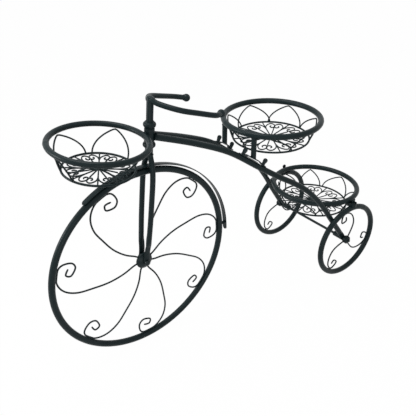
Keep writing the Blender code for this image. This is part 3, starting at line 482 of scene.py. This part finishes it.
# Handlebar: one bent tube over the stem with a ball on each end
handlebar = {"tube": 0.0053, "height": 0.3466, "reach": 0.1208, "spread": 0.066, "drop": 0.0294,
             "ball": 0.0080, "ballFrom": -52, "ballSweep": 142, "ballMiddle": 0.55,
             "socket": ((0.0054, -0.0026), (0.0063, -0.0018), (0.0063, -0.0004)),
             "reachShares": (0.0, 0.055, 0.262, 0.564, 0.844, 1.0),
             "spreadShares": (0.0, 0.242, 0.742, 0.909, 1.0, 0.88),
             "dropShares": (0.0, 0.214, 0.425, 0.69, 0.925, 1.0)}
half = [(reach * handlebar["reach"], spread * handlebar["spread"],
         handlebar["height"] - drop * handlebar["drop"]) for reach, spread, drop in
        zip(handlebar["reachShares"], handlebar["spreadShares"], handlebar["dropShares"])]
barPath = flow([(x, -y, z) for x, y, z in reversed(half[1:])] + half, 8)
dress(bendWire("handlebarTube", barPath, handlebar["tube"], head, 20), "steering", tubeCoat, "tube_paint",
      "handlebar")
for side, sign in sides.items():
    end = Vector(barPath[-1 if sign > 0 else 0])
    before = Vector(barPath[-3 if sign > 0 else 2])
    out = (end - before).normalized()
    ball = handlebar["ball"]
    profile = list(handlebar["socket"])
    for step in range(13):
        angle = math.radians(handlebar["ballFrom"] + step * handlebar["ballSweep"] / 12)
        profile.append((max(ball * math.cos(angle), 0.0004),
                        ball * handlebar["ballMiddle"] + ball * math.sin(angle)))
    dress(latheUp(side + "GripKnob", profile, head @ facing(end, out), 40), "steering", tubeCoat,
          "tube_paint", side + "_grip_ball")
print("steering head built")


def pressEnd(piece, place, press):
    # squeezes the end of a tube flat round an eye at the place's origin; the tube runs up the place's Z
    inverse = place.inverted()
    for vertex in piece.data.vertices:
        spot = inverse @ vertex.co
        if spot.z > press["from"]:
            continue
        share = min(1, (press["from"] - spot.z) / (press["from"] - press["to"]))
        share = share * share * (3 - 2 * share)
        wide = 1 + (press["half"] / press["tube"] - 1) * share
        if spot.z < 0:
            wide *= math.sqrt(max(1 - (spot.z / press["half"]) ** 2, 0.02))
        thin = 1 + (press["flat"] / press["tube"] - 1) * share
        lean = press["centre"](spot.z)
        vertex.co = place @ Vector((spot.x * wide, lean + (spot.y - lean) * thin, spot.z))
    return piece


# Fork blades: round at the neck, pressed flat where the axle bolt goes through
blade = {"tube": 0.0055, "offset": 0.0062, "spread": 0.0178, "topSpread": 0.0058, "top": 0.2371,
         "tubeEnd": 0.046, "heights": (1.0, 0.985, 0.95, 0.90, 0.82, 0.70, 0.50, 0.28, 0.12, 0.0),
         "spreads": (0.0, 0.0, 0.24, 0.57, 0.88, 1.0, 0.98, 0.93, 0.82, 0.72),
         "inNeck": (0.0050, 0.003), "foot": 0.0104, "bends": ((0.036, 0.0124), (0.026, 0.0108)),
         "flatHeights": (0.018, 0.012, 0.006, 0.002, -0.002, -0.0045, -0.006, -0.0069),
         "press": {"from": 0.058, "to": 0.036, "half": 0.0069, "flat": 0.0017}}
for side, sign in sides.items():
    stops = []
    for heightShare, spreadShare in zip(blade["heights"], blade["spreads"]):
        height = blade["tubeEnd"] + heightShare * (blade["top"] - blade["tubeEnd"])
        spread = blade["topSpread"] + spreadShare * (blade["spread"] - blade["topSpread"])
        stops.append((-blade["offset"] * (1 - height / blade["top"]), sign * spread, height))
    stops[0] = (0, sign * blade["inNeck"][0], blade["top"] + blade["inNeck"][1])
    flats = tuple((height, blade["foot"]) for height in blade["flatHeights"])
    for height, spread in blade["bends"] + flats:
        stops.append((-blade["offset"] * (1 - height / blade["top"]), sign * spread, height))
    path = flow(stops, 5)
    heights = [(z, y) for x, y, z in reversed(path)]

    def centre(z, heights=heights):
        for (low, before), (high, after) in zip(heights, heights[1:]):
            if high >= z:
                return before + (after - before) * max(0, (z - low)) / max(high - low, 1e-9)
        return heights[-1][1]

    tube = bendWire(side + "ForkBladeTube", path, blade["tube"], sides=20)
    eye = Matrix.Translation((-blade["offset"], 0, 0))
    pressEnd(tube, eye, {**blade["press"], "tube": blade["tube"], "centre": centre})
    dress(cleanUp(tube, side + "ForkBladeTube", head), "steering", tubeCoat, "tube_paint",
          side + "_fork_blade")
steeringSeams = {"neck": ((0, 0, steering["neckFoot"] + 0.0004), 0.0078, 0.0012),
                 "bar": ((0.0012, 0, steering["bar"] - 0.0052), 0.0059, 0.0009)}
steeringWelds = [weldSeam(head @ Matrix.Translation(spot), radius, thickness)
                 for spot, radius, thickness in steeringSeams.values()]
dress(joined("steeringWelds", steeringWelds), "steering", weldCoat, "tube_paint")
print("fork built")

# Frame rails: two tubes spread like a wishbone from the head to the rear axle
rail = {"tube": 0.0065, "behindHead": 0.0055, "belowTop": 0.0165, "startSpread": 0.0085, "endSpread": 0.1085,
        "reach": (0.0, 0.17, 0.333, 0.475, 0.576, 0.658, 0.739, 0.820, 0.901, 0.960),
        "height": (1.0, 0.915, 0.815, 0.686, 0.596, 0.529, 0.447, 0.326, 0.177, 0.071),
        "spread": (0.0, 0.112, 0.246, 0.428, 0.575, 0.684, 0.790, 0.896, 0.965, 1.0)}
toe = {"entry": 0.1095, "entryFrom": 0.014, "middle": 0.11025, "turnFrom": 0.024, "turnOver": 0.012,
       "steps": (0.020, 0.013, 0.008, 0.004, 0.0, -0.0035, -0.0056, -0.0068, -0.00725),
       "pressAbove": 0.006, "press": {"to": 0.016, "half": 0.00725, "flat": 0.00175}}
start = head @ Vector((rail["behindHead"], 0, steering["headTop"] - rail["belowTop"]))
end = Vector(stand["rearAxle"])
railStops = [(start.x + reach * (end.x - start.x),
              rail["startSpread"] + spread * (rail["endSpread"] - rail["startSpread"]),
              end.z + height * (start.z - end.z))
             for reach, height, spread in zip(rail["reach"], rail["height"], rail["spread"])]
fall = Vector((railStops[-1][0] - end.x, 0, railStops[-1][2] - end.z))
along = fall.normalized()
toeStops = [(end.x + along.x * step, toe["entry"] if step > toe["entryFrom"] else toe["middle"],
             end.z + along.z * step) for step in toe["steps"]]
for side, sign in sides.items():
    def centre(z, sign=sign):
        turned = max(0, min(1, (toe["turnFrom"] - z) / toe["turnOver"]))
        return sign * (rail["endSpread"] + toe["press"]["flat"] * turned)

    path = flow([(x, sign * y, z) for x, y, z in railStops + toeStops], 6)
    tube = bendWire(side + "RailTube", path, rail["tube"], sides=20)
    eye = Matrix.Translation(end) @ Matrix.Rotation(math.atan2(fall.x, fall.z), 4, "Y")
    pressEnd(tube, eye, {**toe["press"], "from": fall.length + toe["pressAbove"], "tube": rail["tube"],
                         "centre": centre})
    dress(cleanUp(tube, side + "RailTube"), "frame", tubeCoat, "tube_paint", side + "_rail")
print("rails built")

# Rear wheels on their axle
rearWheel = {"ring": 0.093714, "tube": 0.0068, "hub": 0.010, "wire": 0.0018, "touch": 0.0849, "toe": 1.8,
             "ringDab": (0.0026, 0.0022, 0.0011), "hubDab": (0.0020, 0.0020, 0.0012),
             "sleeveAt": 0.0941, "spokesAt": (105, 236, 348),
             "reach": (0.0, 0.06, 0.46, 0.745, 0.945, 1.0, 0.86, 0.715, 0.70, 0.85),
             "turns": (-46, -46, -40, -27, -13, 0, 7, 8, -4, -5)}
axleProfile = mirrored([(0.0012, 0.1308), (0.0024, 0.1305), (0.0031, 0.1298), (0.0033, 0.1288)], closed=False)
dress(latheUp("rearAxleRod", axleProfile, rearAxle @ onEdge, 32), "frame", tubeCoat, "tube_paint",
      "rear_axle")
rearHubProfile = mirrored([(0.0036, 0.0075), (0.0052, 0.0074), (0.0066, 0.0070), (0.0082, 0.0060),
                           (0.0094, 0.0050), (0.0100, 0.0040)])
sleeveProfile = mirrored([(0.0036, 0.0137), (0.0060, 0.0137), (0.0066, 0.0131)])
frameWelds = []
for side, sign in sides.items():
    wheel = rearAxle @ Matrix.Translation((0, sign * stand["track"], 0))
    plane = wheel @ Matrix.Rotation(sign * math.radians(rearWheel["toe"]), 4, "Z")
    dress(bendRing(side + "WheelRing", rearWheel["ring"], rearWheel["tube"], plane @ onEdge, 120, 22, 60),
          "frame", wheelCoat, "wheel_paint", side + "_wheel_ring")
    dress(latheUp(side + "WheelHubDisc", rearHubProfile, wheel @ onEdge, 40, True), "frame", wheelCoat,
          "wheel_paint", side + "_wheel_hub")
    dress(latheUp(side + "AxleSleeveTube", sleeveProfile,
                  rearAxle @ Matrix.Translation((0, sign * rearWheel["sleeveAt"], 0)) @ onEdge, 32, True),
          "frame", tubeCoat, "tube_paint", side + "_axle_sleeve")
    for number, touchAt in enumerate(rearWheel["spokesAt"], 1):
        path = spokePath(rearWheel, touchAt)
        dress(bendWire(side + "WheelSpokeWire" + str(number), path, rearWheel["wire"], plane, thins=3),
              "frame", wheelCoat, "wheel_paint", side + "_wheel_spoke_" + str(number))
        atRing = outward(rearWheel["touch"] + spokeEnds["dabPastTouch"], touchAt)
        atHub = outward(rearWheel["hub"] + spokeEnds["dabPastHub"], touchAt + rearWheel["turns"][0])
        frameWelds.append(weldDab(plane @ atRing, rearWheel["ringDab"]))
        frameWelds.append(weldDab(plane @ atHub, rearWheel["hubDab"]))
print("rear wheels built")

# Baskets: rim tube, floor ring, crossing arches between them and a scrolled floor
baskets = {"front": {"rim": 0.0895, "tube": 0.0055, "drop": 0.0507, "floor": 0.0664,
                     "peaks": (39.9, 122, 178, 235, 306), "feet": (32.1, 39.3, 23, 33, 36),
                     "place": head @ Matrix.Translation((-0.1053, 0, 0.2805))
                     @ Matrix.Rotation(math.radians(2.96), 4, "X")},
           "middle": {"rim": 0.1078, "tube": 0.0065, "drop": 0.0450, "floor": 0.0862,
                      "peaks": (-34, 22.8, 76.6, 123.1, 163, 219, 280),
                      "feet": (28.9, 27.4, 29, 23.7, 25, 37, 27),
                      "place": Matrix.Translation((0.13903, 0, 0.44))},
           "rear": {"rim": 0.107, "tube": 0.0064, "drop": 0.0450, "floor": 0.0862,
                    "peaks": (-3.5, 48.5, 98, 150, 200, 252, 304), "feet": (27.8, 19, 25, 26, 26, 26, 26),
                    "place": Matrix.Translation((0.31263, 0, 0.211763))
                    @ Matrix.Rotation(math.radians(2.4), 4, "Y")}}
cage = {"floorWire": 0.0022, "archWire": 0.0016, "restsAt": 42, "steps": 20, "tightBend": 0.0004,
        "sweep": 1.9, "crossing": 0.0007, "peakTilt": 0.09, "peakDab": (0.0014, 0.0030, 0.0012),
        "footDab": (0.0022, 0.0022, 0.0016)}
floorPattern = {"wire": 0.0014, "bars": 8, "first": 15, "from": 0.006, "short": 0.0018, "stalk": 0.555,
                "disc": ((0.0030, -0.0012), (0.0062, -0.0012), (0.0069, -0.0008), (0.0070, 0.0),
                         (0.0069, 0.0008), (0.0062, 0.0012), (0.0030, 0.0012)),
                "along": (0.50, 0.60, 0.72, 0.83, 0.835, 0.74, 0.63, 0.575, 0.585, 0.66, 0.70),
                "aside": (0.0, 0.012, 0.05, 0.15, 0.24, 0.285, 0.27, 0.215, 0.155, 0.14, 0.19)}
for name, basket in baskets.items():
    place = basket["place"]
    dress(bendRing(name + "RimTube", basket["rim"], basket["tube"], place, 140, 20, 160), "frame", rimCoat,
          "basket_rim_paint", name + "_basket_rim")
    low = place @ Matrix.Translation((0, 0, -basket["drop"]))
    wires = [bendRing("floorRing", basket["floor"], cage["floorWire"], low, 110, 12)]
    peakIn, peakDown = polar(basket["tube"] + cage["archWire"], cage["restsAt"])
    for peak, foot in zip(basket["peaks"], basket["feet"]):
        path = []
        for step in range(2 * cage["steps"] + 1):
            side = 1 - step / cage["steps"]
            rise = 1 - math.sqrt(side * side + cage["tightBend"])      # the wire turns sharply at the rim
            swing = math.copysign(1 - max(rise, 0) ** cage["sweep"], side) if side else 0
            reach = (basket["floor"] + (basket["rim"] - peakIn - basket["floor"]) * rise
                     + cage["crossing"] * swing)
            across, aside = polar(reach, peak + foot * swing)
            path.append((across, aside, -basket["drop"] + (basket["drop"] - peakDown) * rise))
        wires.append(bendWire("arch", path, cage["archWire"], place))
        top = path[cage["steps"]]
        frameWelds.append(weldDab(place @ facing(top, (top[0], top[1], cage["peakTilt"])), cage["peakDab"]))
        for end in (path[0], path[-1]):
            frameWelds.append(weldDab(place @ facing(end, (end[0], end[1], 0)), cage["footDab"]))
    dress(joined(name + "CageWires", wires), "frame", wireCoat, "wire_paint", name + "_basket_cage")
    wires = [latheUp("floorDisc", floorPattern["disc"], low, 36)]
    for number in range(floorPattern["bars"]):
        barAt = floorPattern["first"] + 360 * number / floorPattern["bars"]
        stalkAt = barAt + 180 / floorPattern["bars"]
        for degrees, reach in ((barAt, basket["floor"] - floorPattern["short"]),
                               (stalkAt, basket["floor"] * floorPattern["stalk"])):
            near, far = polar(floorPattern["from"], degrees), polar(reach, degrees)
            run = [(near[0] + (far[0] - near[0]) * share / 6, near[1] + (far[1] - near[1]) * share / 6, 0)
                   for share in range(7)]
            wires.append(bendWire("bar", run, floorPattern["wire"], low, 10))
        for hand in (1, -1):
            cosine, sine = math.cos(math.radians(barAt)), math.sin(math.radians(barAt))
            stops = [(share * basket["floor"], hand * aside * basket["floor"])
                     for share, aside in zip(floorPattern["along"], floorPattern["aside"])]
            path = [(x * cosine - y * sine, x * sine + y * cosine, 0) for x, y in flow(stops, 5)]
            wires.append(bendWire("scroll", path, floorPattern["wire"], low, 10, thins=3))
    dress(joined(name + "FloorScrolls", wires), "frame", wireCoat, "wire_paint", name + "_basket_grille")
print("baskets built")

# Posts that carry the middle basket, each on a bowed strip held to its rail by two wing screws
strips = {"half": 0.040, "side": 0.005, "thickness": 0.0016, "edge": 0.0004, "endShare": 0.2, "rise": 0.004,
          "bowFoot": 0.0256, "bowTop": 0.0176, "seat": 0.0068, "top": 0.0087, "bowOutside": 0.0124,
          "square": (0.54591, 0.144194, 0.825343), "screwReach": 0.030, "screwTurn": -38,
          "screws": {"front": (0.017444, 0.041178, 0.40146), "rear": (0.065323, 0.053825, 0.367582)}}
posts = {"radius": 0.0058, "top": 0.4380, "rimSeamAt": 0.4329, "rimSeam": 0.0057, "footSeam": 0.0061,
         "bead": 0.0009}
wingScrew = {"thickness": 0.002, "edge": 0.0005,
             "wing": ((0.0, 0.0150), (0.0028, 0.0144), (0.0047, 0.0120), (0.0049, 0.0092), (0.0040, 0.0052),
                      (0.0031, 0.0008)),
             "boss": ((0.0015, -0.0042), (0.0020, -0.0038), (0.0020, -0.0001), (0.0040, -0.0001),
                      (0.0042, 0.0003), (0.0039, 0.0018), (0.0034, 0.0026), (0.0026, 0.0028),
                      (0.0008, 0.0028))}
outline = list(wingScrew["wing"]) + [(-x, y) for x, y in reversed(wingScrew["wing"][1:])]
clearSelection()
bpy.ops.curve.primitive_bezier_circle_add(radius=1)
wings = bpy.context.object
knots = wings.data.splines[0].bezier_points
knots.add(len(outline) - len(knots))
for knot, (x, y) in zip(knots, outline):
    knot.co, knot.handle_left_type, knot.handle_right_type = (x, y, 0), "AUTO", "AUTO"
wings.data.dimensions, wings.data.fill_mode = "2D", "BOTH"
wings.data.resolution_u, wings.data.bevel_resolution = 6, 2
wings.data.bevel_depth, wings.data.offset = wingScrew["edge"], -wingScrew["edge"]
wings.data.extrude = wingScrew["thickness"] / 2 - wingScrew["edge"]
bpy.ops.object.convert(target="MESH")
wings = cleanUp(bpy.context.object, "wings", onEdge, 40)
screw = joined("wingScrew", [latheUp("boss", wingScrew["boss"], segments=32), wings])


def bowedStrip(name, place):
    clearSelection()
    bpy.ops.mesh.primitive_grid_add(x_subdivisions=90, y_subdivisions=6, size=2)
    band = bpy.context.object
    for vertex in band.data.vertices:
        far = vertex.co.x * strips["half"]
        climb = min(max((strips["bowFoot"] - abs(far)) / (strips["bowFoot"] - strips["bowTop"]), 0), 1)
        bow = math.sin(math.pi / 2 * climb) ** 2
        toEnd = min((strips["half"] - abs(far)) / strips["side"], 1)
        rounding = max(math.sqrt(1 - (1 - toEnd) ** 2), strips["endShare"])
        vertex.co = (far, vertex.co.y * strips["side"] * rounding, strips["seat"] + strips["rise"] * bow)
    wall = band.modifiers.new("wall", "SOLIDIFY")
    wall.thickness, wall.offset = strips["thickness"], 1
    bpy.ops.object.modifier_apply(modifier="wall")
    edge = band.modifiers.new("edge", "BEVEL")
    edge.width, edge.segments, edge.limit_method = strips["edge"], 2, "ANGLE"
    bpy.ops.object.modifier_apply(modifier="edge")
    return cleanUp(band, name, place)


def onSide(spot, sign):
    return Vector((spot[0], sign * spot[1], spot[2]))


for side, sign in sides.items():
    first, second = (onSide(spot, sign) for spot in strips["screws"].values())
    along = (second - first).normalized()
    square = onSide(strips["square"], sign).normalized()
    seat = (first + second) / 2 - square * strips["top"]
    place = Matrix.Translation(seat) @ Matrix((along, square.cross(along), square)).transposed().to_4x4()
    dress(bowedStrip(side + "PostStripBow", place), "frame", stripCoat, "strip_paint", side + "_post_strip")
    for end, way in (("front", -1), ("rear", 1)):
        spot = (place @ Matrix.Translation((way * strips["screwReach"], 0, strips["top"]))
                @ Matrix.Rotation(math.radians(strips["screwTurn"]), 4, "Z"))
        dress(copied(screw, side + "PostWingScrew" + end.title(), spot), side + "_post_screw_" + end,
              screwCoat, "fastener_paint", side + "_post_screw_" + end)
    lowBox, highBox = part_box(side + "_post")
    middle = (lowBox + highBox) / 2
    foot = place @ Vector((0, 0, strips["bowOutside"]))
    clearSelection()
    bpy.ops.mesh.primitive_cylinder_add(vertices=32, radius=posts["radius"], depth=posts["top"] - lowBox.z,
                                        end_fill_type="NGON",
                                        location=(middle.x, middle.y, (posts["top"] + lowBox.z) / 2))
    bpy.ops.object.mode_set(mode="EDIT")
    bpy.ops.mesh.select_all(action="SELECT")
    bpy.ops.mesh.bisect(plane_co=foot, plane_no=square, clear_inner=True, use_fill=True)
    bpy.ops.object.mode_set(mode="OBJECT")
    dress(cleanUp(bpy.context.object, side + "BasketPost"), "frame", tubeCoat, "tube_paint", side + "_post")
    frameWelds.append(weldSeam(Matrix.Translation((middle.x, middle.y, posts["rimSeamAt"])),
                               posts["rimSeam"], posts["bead"]))
    across, aside = middle.x - foot.x, middle.y - foot.y      # the post's foot, slid along the strip's face
    slide = Matrix.Translation((across, aside, -(across * square.x + aside * square.y) / square.z))
    frameWelds.append(weldSeam(slide @ facing(foot, square), posts["footSeam"], posts["bead"]))
print("posts built")

# Tabs that carry the rear basket on the wheel rings
tabs = {"inner": 0.101, "outer": 0.1288, "width": 0.016, "thickness": 0.0026, "x": 0.32013, "z": 0.203114,
        "roundFrom": 0.11, "corner": 0.0072, "edge": 0.0005, "screwLift": 0.0016, "screwTurn": -10,
        "weldAt": 0.1057, "weldLift": 0.0012, "dab": (0.0070, 0.0030, 0.0014)}
headWelds = {"railAhead": 0.004, "railOut": 0.0006, "railSeam": 0.0067, "railBead": 0.0010,
             "railAlong": (1, 0.2, -0.1), "basketAt": (-0.0102, 0, 0.2805), "dab": (0.0042, 0.0056, 0.0016)}
for side, sign in sides.items():
    clearSelection()
    middle = sign * (tabs["inner"] + tabs["outer"]) / 2
    bpy.ops.mesh.primitive_cube_add(size=1, location=(tabs["x"], middle, tabs["z"]),
                                    scale=(tabs["width"], tabs["outer"] - tabs["inner"], tabs["thickness"]))
    tab = bpy.context.object
    bpy.ops.object.transform_apply(location=True, rotation=True, scale=True)
    spots = tab.data.vertices
    for edge in tab.data.edges:
        near, far = (spots[index].co for index in edge.vertices)
        edge.select = abs(near.z - far.z) > 0.001 and sign * near.y > tabs["roundFrom"]
    for face in tab.data.polygons:
        face.select = False
    bpy.ops.object.mode_set(mode="EDIT")
    bpy.ops.mesh.select_mode(type="EDGE")
    bpy.ops.mesh.bevel(offset=tabs["corner"], segments=8, affect="EDGES")
    bpy.ops.mesh.select_all(action="SELECT")
    bpy.ops.object.mode_set(mode="OBJECT")
    edge = tab.modifiers.new("edge", "BEVEL")
    edge.width, edge.segments, edge.limit_method = tabs["edge"], 2, "ANGLE"
    bpy.ops.object.modifier_apply(modifier="edge")
    dress(cleanUp(tab, side + "BasketTabPlate"), "frame", stripCoat, "strip_paint", side + "_basket_tab")
    weldSpot = (tabs["x"], sign * tabs["weldAt"], tabs["z"] + tabs["weldLift"])
    frameWelds.append(weldDab(Matrix.Translation(weldSpot), tabs["dab"]))
    spot = (Matrix.Translation((tabs["x"], sign * stand["track"], tabs["z"] + tabs["screwLift"]))
            @ Matrix.Rotation(math.radians(tabs["screwTurn"]), 4, "Z"))
    dress(copied(screw, side + "TabWingScrew", spot), side + "_tab_screw", screwCoat, "fastener_paint",
          side + "_tab_screw")
bpy.data.objects.remove(screw)
for side, sign in sides.items():      # the rails' welds at the head
    spot = onSide(railStops[0], sign) + Vector((headWelds["railAhead"], sign * headWelds["railOut"], 0))
    frameWelds.append(weldSeam(facing(spot, onSide(headWelds["railAlong"], sign)), headWelds["railSeam"],
                               headWelds["railBead"]))
frameWelds.append(weldDab(head @ facing(headWelds["basketAt"], (1, 0, 0)), headWelds["dab"]))
dress(joined("frameWelds", frameWelds), "frame", weldCoat, "tube_paint")
print("tabs built")

# Stage: a white floor and surroundings, soft light and three plain lamps
stage = {"floorTone": 0.82, "floorWhite": 0.985, "softLight": 0.40, "floorSize": 14, "floorBelow": 0.0004,
         "lampsAim": (0, 0, 0.2)}


def seenRays(start):
    # 1 for what the camera sees, straight, mirrored or through glass
    path = "ShaderNodeLightPath"
    return (start.add(path, out="Is Camera Ray") + start.add(path, out="Is Glossy Ray")
            + start.add(path, out="Is Transmission Ray"))


def paleFloor():
    # a floor that looks white and takes a faint shadow
    material = bpy.data.materials.new("paleFloor")
    material.use_nodes = True
    tree = material.node_tree
    tree.nodes.clear()
    start = Link(tree)
    tone = stage["floorTone"]
    matt = start.add("ShaderNodeBsdfDiffuse", sockets={"Color": (tone, tone, tone, 1)})
    white = start.add("ShaderNodeEmission", sockets={"Color": (1, 1, 1, 1), "Strength": 1.0})
    mixed = start.add("ShaderNodeMixShader", sockets={0: seenRays(start) * stage["floorWhite"], 1: matt,
                                                      2: white})
    start.add("ShaderNodeOutputMaterial", sockets={"Surface": mixed})
    return material


clearSelection()
bpy.ops.mesh.primitive_plane_add(size=stage["floorSize"], location=(0, 0, -stage["floorBelow"]))
floor = bpy.context.object
floor.name = "paleFloor"
floor.data.materials.append(paleFloor())
world = bpy.data.worlds.new("whiteRoom")
bpy.context.scene.world = world
world.use_nodes = True
world.node_tree.nodes.clear()
room = Link(world.node_tree)
soft = room.add("ShaderNodeBackground", sockets={"Color": (1, 1, 1, 1), "Strength": stage["softLight"]})
white = room.add("ShaderNodeBackground", sockets={"Color": (1, 1, 1, 1), "Strength": 1.0})
mixed = room.add("ShaderNodeMixShader", sockets={0: seenRays(room), 1: soft, 2: white})
room.add("ShaderNodeOutputWorld", sockets={"Surface": mixed})
lamps = {"overhead": {"place": (-0.5, 0.3, 2.2), "size": 0.9, "power": 22},
         "fromLeft": {"place": (-1.9, 0.9, 0.95), "size": 0.7, "power": 22},
         "frontFill": {"place": (-1.2, -1.9, 0.35), "size": 0.6, "power": 7}}
for name, lamp in lamps.items():
    bpy.ops.object.light_add(type="AREA", location=lamp["place"])
    light = bpy.context.object
    light.name = name
    light.data.size, light.data.energy = lamp["size"], lamp["power"]
    aim = Vector(stage["lampsAim"]) - Vector(lamp["place"])
    light.rotation_euler = aim.to_track_quat("-Z", "Y").to_euler()
print("stage lit")

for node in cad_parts.values():      # the nodes underneath take the same coat
    node.data.materials.clear()
    node.data.materials.append(tubeCoat)
